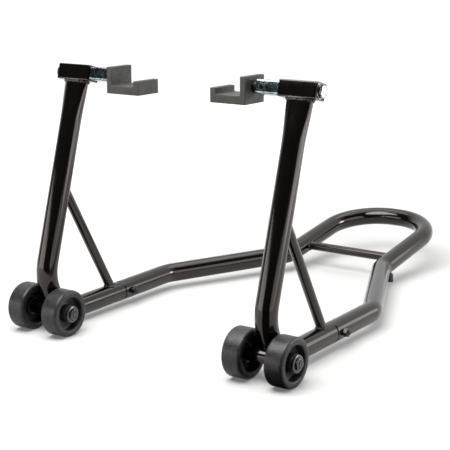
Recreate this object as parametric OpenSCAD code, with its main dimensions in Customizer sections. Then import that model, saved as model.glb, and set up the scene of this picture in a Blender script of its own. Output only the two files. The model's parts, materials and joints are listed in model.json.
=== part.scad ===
// Rear paddock stand for a motorcycle.
// Two wheeled uprights carry sliding saddles and bolt to a one-piece rear frame,
// whose far end is bent up into the lifting handle.
// X is across the stand, Y runs from the wheels back to the handle, Z is up.
// The origin is on the floor, at the middle of the stand's footprint.

/* [Tubes] */
// Outside diameter of the main tube
tube_d = 33.7; // [33:0.1:34]
// Wall of the main tube
tube_wall = 2; // [1.5:0.5:2.5]
// Outside diameter of the diagonal braces
brace_d = 16; // [14:0.5:18]
// Outside diameter of the cross-bar
cross_bar_d = 16; // [12:0.5:18]
// Wall of the braces and the cross-bar
brace_wall = 1.5; // [1:0.5:2]

/* [Uprights] */
// Distance from the middle of the stand to each upright
track_half = 210; // [205:1:220]
// Angle by which the uprights lean back
lean = 16; // [14:1:18]
// Length from the bottom corner to the receiver's centre
upright_len = 402; // [380:1:420]
// Centre-line radius of the bottom bend
front_bend_r = 71; // [70:1:74]
// Place of the brace on the upright, from the bottom corner
brace_up = 226; // [200:1:240]
// Place of the brace on the arm, from the bottom corner
brace_along = 186; // [170:1:188]

/* [Rear frame] */
// Distance from the bottom corner to the joint in each arm
joint_along = 201; // [198:1:206]
// Distance from the bottom corner to the first bend
first_bend_along = 336; // [310:1:340]
// Distance from the bottom corner to the second bend
second_bend_along = 576; // [560:1:590]
// Half of the distance between the two sides of the handle
handle_half = 98; // [92:1:104]
// Place of the cross-bar on the handle, from the second bend
cross_bar_along = 51; // [40:1:60]
// Length of the handle from the second bend to the far end's centre line
handle_len = 245; // [220:1:260]
// Angle by which the arms rise towards the back
arm_rise = 1; // [0.4:0.1:1.2]
// Angle by which the handle rises
handle_rise = 9.5; // [8:0.1:12]
// Centre-line radius of the first and second bends
side_bend_r = 60; // [50:1:70]
// Centre-line radius of the handle's corners
handle_bend_r = 92; // [80:1:92]

/* [Wheels] */
// Diameter of a wheel
wheel_d = 75; // [74:1:76]
// Width of a wheel
wheel_w = 32; // [30:1:34]
// Distance from the upright to the middle of each wheel
wheel_offset = 36; // [35:1:38]
// Diameter of the axle bolts
axle_d = 10; // [8:2:10]

/* [Saddles] */
// Side of the square receiver tube
receiver_side = 25; // [25:0.5:26]
// Length of the receiver tube
receiver_len = 64; // [62:1:66]
// Side of the square slide bar
bar_side = 21; // [20.6:0.1:21]
// Length of the slide bar
bar_len = 86; // [84:1:88]
// Distance from the middle of the stand to a saddle's outer face
saddle_out = 130; // [127:1:131]
// Width of a saddle, across the stand
saddle_w = 62.5; // [58:1:66]
// Depth of a saddle, along the stand
saddle_depth = 50; // [44:0.5:52]
// Height of a saddle's tall outer leg
saddle_h = 41; // [39:0.2:44]
// Height of a saddle's short inner leg
saddle_lip_h = 22; // [18:1:26]
// Thickness of a saddle's floor
saddle_floor = 12.8; // [12:0.2:14]

/* [Hidden] */
$fn = 64;

left = -1;
right = 1;
over = 1;                 // how far a cutter runs past the face it cuts
tube_r = tube_d / 2;
bore_r = tube_r - tube_wall;
wheel_r = wheel_d / 2;
axle_r = axle_d / 2;

// The bottom corner is where the centre lines of upright and arm cross,
// seen from the axle, with the floor as zero height.
corner_y = -20.8;
corner_z = 22.6;
receiver_y = corner_y + upright_len * sin(lean);
receiver_z = corner_z + upright_len * cos(lean);
second_bend_y = corner_y + second_bend_along;
handle_end_y = second_bend_y + handle_len * cos(handle_rise);
axle_y = (wheel_r - handle_end_y - tube_r) / 2;

// Centre-line points, in the plane of one side and then across the frame.
function arm_point(x, d) = [x, corner_y + d, corner_z + d * tan(arm_rise)];
function upright_point(x, d) = [x, corner_y + d * sin(lean), corner_z + d * cos(lean)];
function handle_point(x, d) = arm_point(x, second_bend_along)
    + d * [0, cos(handle_rise), sin(handle_rise)];
joint_gap = 1.6;
function rear_side(s) = [
    arm_point(s * track_half, joint_along + joint_gap),
    arm_point(s * track_half, first_bend_along),
    arm_point(s * handle_half, second_bend_along),
    handle_point(s * handle_half, handle_len)
];
rear_right = rear_side(right);
rear_path = concat(rear_side(left), [for (i = [3 : -1 : 0]) rear_right[i]]);
rear_radii = [side_bend_r, side_bend_r, handle_bend_r, handle_bend_r, side_bend_r, side_bend_r];

// A bend is drawn a little thicker than the straight tube that runs into it
bend_step = 0.05;
bend_lap = 1;

// Left open between welded parts, so that rounding never makes them overlap
weld_gap = 0.01;

// Upright end, pressed to an oval that matches the receiver
oval_len = 70;
oval_half_x = 21.4;
oval_half_y = 13.4;
oval_step = 0.15;
oval_lap = 0.5;
front_path = [
    upright_point(track_half, upright_len - receiver_side / 2 - oval_len + oval_lap),
    upright_point(track_half, 0),
    arm_point(track_half, joint_along)
];

// Joint sleeve and its bolt
sleeve_clear = 0.1;
sleeve_front = 45;
sleeve_rear = 60;
sleeve_wall = 1.8;
joint_bolt_back = 19;
joint_bolt_r = 4;
joint_hex = 13;
joint_head_h = 5.3;
joint_nut_h = 6.5;

// Feet, under the handle's sides
foot_back = 36;
foot_r = 6.5;
foot_h = 15;
foot_stud_r = 3;

// Wheel and axle, measured from the upright along the axle
hub_in = 8;
hub_out = 16;
hub_r = 14;
rim_r = 26.4;
tread_edge_r = 4;
web_half = 2.5;
bush_r = 7;
bush_past = 0.2;
bush_clear = 0.05;
press_gap = 0.03;
axle_sleeve_r = 11;
axle_sleeve_half = 26;
washer_r = 12;
inner_washer = [26, 27.7];
outer_washer = [52.3, 54];
axle_hex = 17;
axle_head_h = 5.5;
axle_flange_r = 13.3;
axle_flange_h = 2.4;
axle_nut_h = 5.5;
axle_tail = 0.8;

// Receiver, slide bar and adjusting screw, along the bar from the receiver's middle
receiver_wall = 1.8;
receiver_bore = receiver_side - 2 * receiver_wall;
plug_t = 4;
plug_side = receiver_bore - 0.1;
bar_bore = 16;
boss_len = 8;
bar_in = saddle_out + boss_len - track_half;
bar_out = bar_in + bar_len;
bar_nut_t = 10;
screw_r = 5;
screw_clear = 0.08;
screw_len = 57;
screw_hex = 17;
screw_head_h = 6.4;
screw_washer_r = 10;
screw_washer_t = 2;
plug_face = receiver_len / 2 - 2.5;
screw_seat = plug_face + screw_washer_t;

// Saddle pivot and steel core, along X from the saddle's outer face
pivot_r = 5;
pivot_clear = 0.05;
pivot_drop = 25;
stub_t = 14;
boss_r = 9;
boss_gap = 0.3;
tall_leg = 9.6;
short_leg = 10;
core_t = 4;
core_out = 2.8;
core_cover = 4;
core_h = 30;
tip_in = 8.5;
clip_in = [7.1, 8.1];
clip_r = 7.2;
clip_room = 0.2;
groove_r = 4;

// ---- shared shapes ----

module ring(outer_r, inner_r) {
    difference() {
        circle(r = outer_r);
        if (inner_r > 0) circle(r = inner_r);
    }
}

module round_square(side, r) {
    square([side, side - 2 * r], center = true);
    square([side - 2 * r, side], center = true);
    for (x = [-1, 1], y = [-1, 1])
        translate([x, y] * (side / 2 - r)) circle(r = r);
}

function unit(v) = v / norm(v);

// A tube from p to q
module straight(p, q, outer_r, inner_r) {
    d = q - p;
    translate(p)
        rotate([0, acos(d.z / norm(d)), atan2(d.y, d.x)])
            linear_extrude(norm(d)) ring(outer_r, inner_r);
}

// A bend of radius r that rounds the corner p1 between p0 and p2
module bend(p0, p1, p2, r, outer_r, inner_r) {
    u = unit(p1 - p0);
    turn = acos(u * unit(p2 - p1));
    normal = unit(cross(p1 - p0, p2 - p1));
    inward = cross(normal, u);
    translate(p1 - r * tan(turn / 2) * u + r * inward)
        rotate([atan2(u.z, normal.z), asin(inward.z), atan2(-inward.y, -inward.x)])
            rotate_extrude(angle = turn) translate([r, 0]) ring(outer_r, inner_r);
}

// How far short of point i the straight tube stops, less the lap into the bend
function setback(p, radii, i) = (i == 0 || i == len(p) - 1) ? 0
    : radii[i - 1] * tan(acos(unit(p[i] - p[i - 1]) * unit(p[i + 1] - p[i])) / 2) - bend_lap;

// A hollow tube along points p, with a bend of radii[i - 1] at each inner point i
module tube_along(p, radii, outer_r, inner_r) {
    for (i = [0 : len(p) - 2]) {
        u = unit(p[i + 1] - p[i]);
        straight(p[i] + setback(p, radii, i) * u, p[i + 1] - setback(p, radii, i + 1) * u,
            outer_r, inner_r);
    }
    for (i = [1 : len(p) - 2])
        bend(p[i - 1], p[i], p[i + 1], radii[i - 1], outer_r + bend_step, inner_r - bend_step);
}

// A round piece along X, between x = a and x = b
module bar_x(a, b, outer_r, inner_r = 0, sides = $fn) {
    translate([a, 0, 0]) rotate([90, 0, 90]) linear_extrude(b - a)
        difference() {
            circle(r = outer_r, $fn = sides);
            if (inner_r > 0) circle(r = inner_r);
        }
}

// A hexagon of the given width across flats, along X
module hex_x(a, b, across, inner_r = 0) {
    bar_x(a, b, across / 2 / cos(30), inner_r, 6);
}

// Children are drawn for the right side, and mirrored for the left
module on_side(side) {
    mirror([side < 0 ? 1 : 0, 0, 0]) children();
}

// From the axle's place on the floor
module from_axle() {
    translate([0, axle_y, 0]) children();
}

// From the middle of a receiver, turned with the upright
module at_receiver(side) {
    on_side(side)
        translate([track_half, axle_y + receiver_y, receiver_z])
            rotate([-lean, 0, 0]) children();
}

// From the pivot axis at a saddle's outer face, level, with +X outward
module at_saddle(side) {
    on_side(side)
        translate([saddle_out, axle_y + receiver_y, receiver_z]) children();
}

// From the axle at an upright, never mirrored: the bolts all point the same way
module at_axle(side) {
    translate([side * track_half, axle_y, wheel_r]) children();
}

// From the joint bolt in an arm
module at_joint_bolt(side) {
    from_axle() translate(arm_point(side * track_half, joint_along + joint_bolt_back)) children();
}

// ---- front frames ----

// The upright's oval end: from a circle of start_r to an oval, less the wall
module oval_end(start_r, wall) {
    disc_t = 0.02;
    translate(upright_point(track_half, upright_len - receiver_side / 2 - oval_len))
        rotate([-lean, 0, 0]) hull() {
            cylinder(r = start_r, h = disc_t, $fn = 32);
            translate([0, 0, oval_len - disc_t - weld_gap])
                scale([oval_half_x - wall, oval_half_y - wall, 1])
                    cylinder(r = 1, h = disc_t, $fn = 32);
        }
}

module front_tube(side) {
    color("#161618") on_side(side) from_axle() {
        tube_along(front_path, [front_bend_r], tube_r, bore_r);
        difference() {
            oval_end(tube_r + oval_step, 0);
            oval_end(bore_r - oval_step, tube_wall);
        }
    }
}

module brace(side) {
    top = upright_point(track_half, brace_up);
    foot = arm_point(track_half, brace_along);
    color("#161618") on_side(side) from_axle() difference() {
        straight(top, foot, brace_d / 2, brace_d / 2 - brace_wall);
        straight(upright_point(track_half, brace_up - 50),
            upright_point(track_half, brace_up + 50), tube_r + weld_gap, 0);
        straight(arm_point(track_half, brace_along - 60),
            arm_point(track_half, brace_along + 60), tube_r + weld_gap, 0);
    }
}

module axle_sleeve(side) {
    color("#161618") difference() {
        at_axle(side) bar_x(-axle_sleeve_half, axle_sleeve_half, axle_sleeve_r, axle_r + 0.1);
        on_side(side) from_axle()
            bend(front_path[0], front_path[1], front_path[2], front_bend_r,
                tube_r + bend_step + weld_gap, 0);
    }
}

module receiver(side) {
    color("#161618") at_receiver(side)
        rotate([90, 0, 90]) linear_extrude(receiver_len, center = true) difference() {
            round_square(receiver_side, 2.4);
            round_square(receiver_bore, 1);
        }
}

module end_plug(side) {
    color("#b9bec4") at_receiver(side) difference() {
        translate([plug_face - plug_t, 0, 0])
            rotate([90, 0, 90]) linear_extrude(plug_t) round_square(plug_side, 1);
        bar_x(plug_face - plug_t - over, plug_face + over, screw_r + screw_clear);
    }
}

// ---- wheels and axles ----

module axle_bolt(side) {
    color("#77797c") at_axle(side) {
        hex_x(-outer_washer[1] - axle_head_h, -outer_washer[1] - axle_flange_h, axle_hex);
        bar_x(-outer_washer[1] - axle_flange_h, -outer_washer[1], axle_flange_r);
        bar_x(-outer_washer[1], outer_washer[1] + axle_nut_h + axle_tail, axle_r);
    }
}

module axle_nut(side) {
    color("#77797c") at_axle(side) translate([outer_washer[1], 0, 0]) {
        bar_x(0, axle_flange_h, axle_flange_r, axle_r + bush_clear);
        hex_x(axle_flange_h, axle_nut_h, axle_hex, axle_r + bush_clear);
    }
}

module axle_washers() {
    color("#8a8c8f")
        for (side = [left, right], end = [0, 1], w = [inner_washer, outer_washer])
            at_axle(side) mirror([end, 0, 0]) bar_x(w[0], w[1], washer_r, axle_r + 0.2);
}

module wheel_section() {
    tread_in = wheel_r - tread_edge_r;
    half = wheel_w / 2;
    translate([rim_r, -half]) square([tread_in - rim_r, wheel_w]);
    translate([rim_r, tread_edge_r - half]) square([wheel_r - rim_r, wheel_w - 2 * tread_edge_r]);
    for (s = [-1, 1])
        translate([tread_in, s * (half - tread_edge_r)]) circle(r = tread_edge_r);
    translate([hub_r, -web_half]) square([rim_r - hub_r, 2 * web_half]);
    translate([bush_r + press_gap, -hub_in])
        square([hub_r - bush_r - press_gap, hub_in + hub_out]);
}

// From the middle of a wheel, turned so that +X is away from the upright;
// place is -1 for the wheel nearer to -X and 1 for the other
module at_wheel(side, place) {
    at_axle(side) mirror([place < 0 ? 1 : 0, 0, 0]) translate([wheel_offset, 0, 0]) children();
}

module wheel(side, place) {
    color("#3a3a3c") at_wheel(side, place)
        rotate([90, 0, 90]) rotate_extrude() wheel_section();
}

module wheel_bush(side, place) {
    color("#9a9da1") at_wheel(side, place)
        bar_x(-hub_in - bush_past, hub_out + bush_past, bush_r, axle_r + bush_clear);
}

// ---- rear frame ----

module rear_tube() {
    color("#161618") difference() {
        from_axle() tube_along(rear_path, rear_radii, tube_r, bore_r);
        for (side = [left, right])
            at_joint_bolt(side) bar_x(-tube_d, tube_d, joint_bolt_r + 0.2);
    }
}

module cross_bar() {
    place = handle_point(0, cross_bar_along);
    color("#161618") from_axle() difference() {
        translate(place)
            bar_x(-handle_half, handle_half, cross_bar_d / 2, cross_bar_d / 2 - brace_wall);
        for (side = [left, right])
            straight(handle_point(side * handle_half, cross_bar_along - 30),
                handle_point(side * handle_half, cross_bar_along + 30), tube_r + weld_gap, 0);
    }
}

module joint_sleeve(side) {
    outer_r = bore_r - sleeve_clear;
    color("#5d5f62") difference() {
        from_axle() straight(arm_point(side * track_half, joint_along - sleeve_front),
            arm_point(side * track_half, joint_along + sleeve_rear),
            outer_r, outer_r - sleeve_wall);
        at_joint_bolt(side) bar_x(-tube_d, tube_d, joint_bolt_r + 0.2);
    }
}

module joint_bolts() {
    color("#2a2a2c") for (side = [left, right]) at_joint_bolt(side) {
        hex_x(-tube_r - joint_head_h, -tube_r, joint_hex);
        bar_x(-tube_r, tube_r + joint_nut_h + 3, joint_bolt_r);
    }
}

module joint_nuts() {
    color("#2a2a2c") for (side = [left, right]) at_joint_bolt(side)
        hex_x(tube_r, tube_r + joint_nut_h, joint_hex, joint_bolt_r + 0.05);
}

// Where the tube's centre line passes over the right foot
foot_place = handle_point(handle_half, foot_back);

module foot_studs() {
    color("#5d5f62") from_axle() for (side = [left, right]) difference() {
        translate([side * foot_place.x, foot_place.y, foot_h - 6])
            cylinder(r = foot_stud_r, h = foot_place.z - foot_h);
        straight(handle_point(side * handle_half, 10), handle_point(side * handle_half, 70),
            tube_r + weld_gap, 0);
    }
}

module foot(side) {
    color("#202022") from_axle() difference() {
        translate([side * foot_place.x, foot_place.y, 0])
            cylinder(r1 = foot_r, r2 = foot_r - 0.8, h = foot_h);
        translate([side * foot_place.x, foot_place.y, foot_h - 6])
            cylinder(r = foot_stud_r + press_gap, h = foot_h);
    }
}

// ---- slides and adjusting screws ----

module slide_bar(side) {
    color("#aab2ba") at_receiver(side)
        translate([bar_in, 0, 0]) rotate([90, 0, 90]) linear_extrude(bar_len) difference() {
            round_square(bar_side, 3);
            square(bar_bore, center = true);
        }
}

module bar_nut(side) {
    color("#8a8c8f") at_receiver(side) difference() {
        translate([bar_out - bar_nut_t, -bar_bore / 2, -bar_bore / 2])
            cube([bar_nut_t, bar_bore, bar_bore]);
        bar_x(bar_out - bar_nut_t - over, bar_out + over, screw_r + screw_clear);
    }
}

module adjust_screw(side) {
    color("#c4c9ce") at_receiver(side) {
        hex_x(screw_seat, screw_seat + screw_head_h, screw_hex);
        bar_x(screw_seat - screw_len, screw_seat, screw_r);
    }
}

module screw_washer(side) {
    color("#c4c9ce") at_receiver(side)
        bar_x(plug_face, screw_seat, screw_washer_r, screw_r + screw_clear);
}

// The plug in the bar's inner end, with the spigot that the saddle swivels on
module pivot_stub(side) {
    color("#8a8c8f") {
        at_receiver(side)
            translate([bar_in, -bar_bore / 2, -bar_bore / 2]) cube([stub_t, bar_bore, bar_bore]);
        at_saddle(side) {
            bar_x(-clip_in[0] + 0.05, boss_len, pivot_r);
            bar_x(-clip_in[1] - 0.05, -clip_in[0] + 0.05, groove_r);
            bar_x(-tip_in, -clip_in[1] - 0.05, pivot_r);
        }
    }
}

module pivot_clip(side) {
    color("#8a8c8f") at_saddle(side)
        bar_x(-clip_in[1], -clip_in[0], clip_r, groove_r + 0.1);
}

// ---- saddles ----

module saddle_core(side) {
    plate_in = core_out + core_t;
    bottom = core_cover - pivot_drop;
    depth = saddle_depth - 2 * core_cover;
    color("#2c2c2e") at_saddle(side) difference() {
        union() {
            translate([-plate_in, -depth / 2, bottom]) cube([core_t, depth, core_h]);
            translate([core_cover - saddle_w, -depth / 2, bottom])
                cube([saddle_w - core_cover - plate_in, depth, core_t]);
            bar_x(-core_out, boss_len - boss_gap, boss_r);
        }
        bar_x(-plate_in - over, boss_len, pivot_r + pivot_clear);
    }
}

module saddle_outline() {
    square([saddle_w, saddle_floor]);
    square([short_leg, saddle_lip_h]);
    translate([saddle_w - tall_leg, 0]) square([tall_leg, saddle_h]);
}

module saddle_pad(side) {
    plate_in = core_out + core_t;
    bottom = core_cover - pivot_drop;
    depth = saddle_depth - 2 * core_cover;
    color("#4f4b47") at_saddle(side) difference() {
        translate([-saddle_w, saddle_depth / 2, -pivot_drop])
            rotate([90, 0, 0]) linear_extrude(saddle_depth) saddle_outline();
        translate([-plate_in, -depth / 2, bottom]) cube([core_t, depth, core_h]);
        translate([core_cover - saddle_w, -depth / 2, bottom])
            cube([saddle_w - core_cover - plate_in, depth, core_t]);
        bar_x(-core_out - over, over, boss_r + press_gap);
        bar_x(-tip_in - clip_room, -plate_in + over, clip_r + clip_room);
    }
}

front_tube(left);  // left_front_tube
front_tube(right);  // right_front_tube
brace(left);  // left_brace
brace(right);  // right_brace
axle_sleeve(left);  // left_axle_sleeve
axle_sleeve(right);  // right_axle_sleeve
receiver(left);  // left_receiver
receiver(right);  // right_receiver
end_plug(left);  // left_end_plug
end_plug(right);  // right_end_plug
axle_bolt(left);  // left_axle_bolt
axle_bolt(right);  // right_axle_bolt
axle_nut(left);  // left_axle_nut
axle_nut(right);  // right_axle_nut
axle_washers();
rear_tube();
cross_bar();
joint_sleeve(left);  // left_joint_sleeve
joint_sleeve(right);  // right_joint_sleeve
joint_bolts();
joint_nuts();
foot_studs();
foot(left);  // left_foot
foot(right);  // right_foot
wheel(left, -1);  // left_outer_wheel
wheel(left, 1);  // left_inner_wheel
wheel(right, -1);  // right_inner_wheel
wheel(right, 1);  // right_outer_wheel
wheel_bush(left, -1);  // left_outer_bush
wheel_bush(left, 1);  // left_inner_bush
wheel_bush(right, -1);  // right_inner_bush
wheel_bush(right, 1);  // right_outer_bush
slide_bar(left);  // left_slide_bar
slide_bar(right);  // right_slide_bar
bar_nut(left);  // left_bar_nut
bar_nut(right);  // right_bar_nut
pivot_stub(left);  // left_pivot_stub
pivot_stub(right);  // right_pivot_stub
pivot_clip(left);  // left_pivot_clip
pivot_clip(right);  // right_pivot_clip
saddle_core(left);  // left_saddle_core
saddle_core(right);  // right_saddle_core
saddle_pad(left);  // left_saddle_pad
saddle_pad(right);  // right_saddle_pad
adjust_screw(left);  // left_adjust_screw
adjust_screw(right);  // right_adjust_screw
screw_washer(left);  // left_screw_washer
screw_washer(right);  // right_screw_washer
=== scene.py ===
import json
import math
import random

import bmesh
import bpy
from mathutils import Matrix, Vector


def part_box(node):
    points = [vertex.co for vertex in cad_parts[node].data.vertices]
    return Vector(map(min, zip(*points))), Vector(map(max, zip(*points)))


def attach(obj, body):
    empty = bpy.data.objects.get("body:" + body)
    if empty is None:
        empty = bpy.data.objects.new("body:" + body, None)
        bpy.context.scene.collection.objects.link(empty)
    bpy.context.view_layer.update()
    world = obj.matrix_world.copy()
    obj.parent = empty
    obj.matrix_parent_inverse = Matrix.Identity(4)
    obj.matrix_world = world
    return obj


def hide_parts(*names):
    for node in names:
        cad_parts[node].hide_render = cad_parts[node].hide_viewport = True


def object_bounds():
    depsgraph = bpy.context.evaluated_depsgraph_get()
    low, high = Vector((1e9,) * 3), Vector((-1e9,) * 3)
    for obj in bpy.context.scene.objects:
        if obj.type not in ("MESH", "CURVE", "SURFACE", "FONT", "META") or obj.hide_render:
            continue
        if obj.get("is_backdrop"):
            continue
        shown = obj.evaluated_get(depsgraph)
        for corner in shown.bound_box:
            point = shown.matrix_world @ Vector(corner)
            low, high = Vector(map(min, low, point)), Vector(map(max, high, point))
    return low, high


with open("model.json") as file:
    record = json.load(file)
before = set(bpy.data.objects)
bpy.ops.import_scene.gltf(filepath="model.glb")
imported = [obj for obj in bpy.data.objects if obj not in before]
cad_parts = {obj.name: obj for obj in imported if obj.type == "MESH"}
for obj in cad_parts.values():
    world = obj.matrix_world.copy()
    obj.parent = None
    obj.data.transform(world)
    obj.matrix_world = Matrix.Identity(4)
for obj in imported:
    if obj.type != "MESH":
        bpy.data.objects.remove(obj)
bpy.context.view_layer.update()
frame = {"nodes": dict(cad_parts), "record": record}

MM = 0.001
LEFT, RIGHT = -1, 1
SIDE_NAMES = {LEFT: "left", RIGHT: "right"}

# ---- driving sizes, in metres ----
TUBE_R = 16.85 * MM
TUBE_WALL = 2 * MM
BRACE_R = 8 * MM
BRACE_TOP_WELD_R = 2.1 * MM
BRACE_FOOT_WELD_R = 2.3 * MM
CROSS_BAR_R = 8 * MM
CROSS_BAR_WELD_R = 2.2 * MM
LEAN = math.radians(16)
ARM_RISE = math.radians(1)
HANDLE_RISE = math.radians(9.5)
UPRIGHT_LEN = 402 * MM
FRONT_BEND_R = 71 * MM
SIDE_BEND_R = 60 * MM
HANDLE_BEND_R = 92 * MM
BRACE_UP = 226 * MM
BRACE_ALONG = 186 * MM
JOINT_ALONG = 201 * MM
JOINT_GAP = 1.6 * MM
FIRST_BEND_ALONG = 336 * MM
SECOND_BEND_ALONG = 576 * MM
HANDLE_LEN = 245 * MM
HANDLE_HALF = 98 * MM
CROSS_BAR_ALONG = 51 * MM
JOINT_BOLT_ALONG = 19 * MM
OVAL_LEN = 70 * MM
OVAL_HALF_X = 21.4 * MM
OVAL_HALF_Y = 13.4 * MM
RECEIVER_SIDE = 25 * MM
RECEIVER_CORNER = 2 * MM
RECEIVER_WALL = 1.8 * MM
RECEIVER_BORE_CORNER = 1 * MM
RECEIVER_RIM = 0.5 * MM
BAR_SIDE = 21 * MM
BAR_CORNER = 3 * MM
BAR_BORE = 16 * MM
BAR_BORE_CORNER = 0.4 * MM
BAR_RIM = 0.6 * MM
SADDLE_W = 62.5 * MM
SADDLE_H = 41 * MM
SADDLE_LIP_H = 22 * MM
SADDLE_FLOOR = 12.8 * MM
TALL_LEG = 9.6 * MM
SHORT_LEG = 10 * MM
SADDLE_ROOT_R = 1.8 * MM
SADDLE_EDGE_R = 1.1 * MM
SADDLE_EDGE_ANGLE = math.radians(50)

# ---- how finely and how softly the pieces are made ----
TUBE_SIDES = 48
BEND_STEP = math.radians(3)
ROUND_BAR_SIDES = 40
SPUN_SIDES = 72
WHEEL_SIDES = 120
FOOT_SIDES = 40
THREAD_SIDES = 48
STEPS_PER_PITCH = 8
BEAD_SIDES = 10
OVAL_STEPS = 14
CORNER_STEPS = 6
TREAD_EDGE_STEPS = 8
ROOT_STEPS = 5
TUBE_RIM = 0.8 * MM
BAR_SINK = 0.5 * MM
MERGE_DISTANCE = 0.001 * MM
BEAD_SPACING = 0.55 * MM
BEAD_PITCH = 3.4 * MM
RIPPLE_SIZES = (0.78, 1.14)
RIPPLE_SHIFTS = (-0.2, 0.2)
RIPPLE_LOW, RIPPLE_RISE = 0.72, 0.28
RIPPLE_LEAN, RIPPLE_FULLNESS = 1.25, 0.7
TAPER_FROM, TAPER = 0.7, 0.5
HEX_CHAMFER, HEX_SLOPE = 0.96, 0.55

# ---- edges sharper than this angle stay sharp, in degrees ----
WELD_SMOOTH = 60
TUBE_SMOOTH = 50
MOULDING_SMOOTH = 40
PLAIN_SMOOTH = 35
FASTENER_SMOOTH = 30

# ---- seeds, one for each kind of weld ----
BRACE_TOP_SEED = 11
BRACE_FOOT_SEED = 21
CROSS_BAR_SEED = 31
RECEIVER_SEED = 41
RECEIVER_ROW_SEEDS = 7


def middle(node):
    low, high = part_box(node)
    return (low + high) / 2


def length_x(node):
    low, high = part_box(node)
    return high.x - low.x


# ---- places, from the frame ----
right_wheel = middle("right_outer_wheel")
receiver_mid = middle("right_receiver")
TRACK_HALF = receiver_mid.x
AXLE_Y, WHEEL_R = right_wheel.y, right_wheel.z
UP_UPRIGHT = Vector((0, math.sin(LEAN), math.cos(LEAN)))
ALONG_ARM = Vector((0, 1, math.tan(ARM_RISE)))
ALONG_HANDLE = Vector((0, math.cos(HANDLE_RISE), math.sin(HANDLE_RISE)))
corner = receiver_mid - UPRIGHT_LEN * UP_UPRIGHT
ANY_WAY = Vector((0.31, 0.77, 0.55))  # a direction that no weld runs along


def across(point, x):
    """The same height and depth at another x."""
    return Vector((x, point.y, point.z))


def upright_point(along):
    return corner + along * UP_UPRIGHT


def arm_point(along, x=TRACK_HALF):
    return across(corner + along * ALONG_ARM, x)


def handle_point(along, x=HANDLE_HALF):
    return arm_point(SECOND_BEND_ALONG, x) + along * ALONG_HANDLE


def mirrored(side):
    """Pieces are made for the right side; this turns them into the left ones."""
    return Matrix.Scale(side, 4, (1, 0, 0))


def at_receiver(side):
    return mirrored(side) @ Matrix.Translation(receiver_mid) @ Matrix.Rotation(-LEAN, 4, "X")


def at_saddle(side):
    low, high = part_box("right_saddle_pad")
    return mirrored(side) @ Matrix.Translation((high.x, receiver_mid.y, low.z))


# ---- node materials ----
class Nodes:
    """A material under construction, with short calls for the nodes it needs."""

    def __init__(self, name):
        self.material = bpy.data.materials.new(name)
        self.material.use_nodes = True
        self.tree = self.material.node_tree
        self.shader = self.tree.nodes["Principled BSDF"]
        self.place = self.add("ShaderNodeTexCoord").outputs["Object"]

    def add(self, kind, **values):
        node = self.tree.nodes.new(kind)
        for key, value in values.items():
            if hasattr(node, key):
                setattr(node, key, value)
            else:
                node.inputs[key.replace("_", " ").title()].default_value = value
        return node

    def link(self, output, socket):
        self.tree.links.new(output, socket)

    def noise(self, size, detail=3.0, roughness=0.5):
        """Noise whose features are about size metres across."""
        node = self.add("ShaderNodeTexNoise", scale=1 / size, detail=detail, roughness=roughness)
        self.link(self.place, node.inputs["Vector"])
        return node.outputs["Fac"]

    def cells(self, size):
        """A random colour for each cell of about size metres."""
        node = self.add("ShaderNodeTexVoronoi", scale=1 / size, randomness=1.0)
        self.link(self.place, node.inputs["Vector"])
        return node.outputs["Color"]

    def ramp(self, value, stops):
        """stops are (place, colour) pairs."""
        node = self.add("ShaderNodeValToRGB")
        elements = node.color_ramp.elements
        while len(elements) < len(stops):
            elements.new(0.5)
        for element, (place, colour) in zip(elements, stops):
            element.position = place
            element.color = (*colour, 1)
        self.link(value, node.inputs["Fac"])
        return node.outputs["Color"]

    def spread(self, value, low, high, start=0.0, end=1.0):
        node = self.add("ShaderNodeMapRange")
        ends = {"From Min": start, "From Max": end, "To Min": low, "To Max": high}
        for key, number in ends.items():
            node.inputs[key].default_value = number
        self.link(value, node.inputs["Value"])
        return node.outputs["Result"]

    def bump(self, height, depth, strength=1.0, onto=None):
        node = self.add("ShaderNodeBump")
        node.inputs["Distance"].default_value = depth
        node.inputs["Strength"].default_value = strength
        self.link(height, node.inputs["Height"])
        if onto is not None:
            self.link(onto, node.inputs["Normal"])
        return node.outputs["Normal"]

    def set(self, **values):
        for key, value in values.items():
            socket = self.shader.inputs[key.replace("_", " ")]
            if hasattr(value, "links"):
                self.link(value, socket)
            else:
                socket.default_value = value
        return self.material


def grey(value, warm=0.0):
    """A grey, with red raised and blue lowered by the share warm."""
    return (value * (1 + warm), value, value * (1 - warm))


PAINT_TINT = (1.0, 0.91, 0.88, 1.0)


def black_powder_coat():
    m = Nodes("black_powder_coat")
    colour = m.ramp(m.noise(60 * MM, 4), [(0.3, grey(0.0006, 0.2)), (0.7, grey(0.0012, 0.2))])
    peel = m.bump(m.noise(3.2 * MM, 2), 0.05 * MM, 0.35)
    peel = m.bump(m.noise(0.8 * MM, 2), 0.01 * MM, 0.3, peel)
    rough = m.spread(m.noise(25 * MM, 3), 0.09, 0.14, 0.3, 0.7)
    return m.set(Base_Color=colour, Roughness=rough, Normal=peel, Specular_Tint=PAINT_TINT)


def weld_paint():
    m = Nodes("black_powder_coat_on_weld")
    colour = m.ramp(m.noise(8 * MM, 4), [(0.3, grey(0.0015, 0.2)), (0.7, grey(0.004, 0.2))])
    lumps = m.bump(m.noise(1.6 * MM, 3), 0.4 * MM, 0.9)
    return m.set(Base_Color=colour, Roughness=0.12, Normal=lumps, Specular_Tint=PAINT_TINT)


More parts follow.
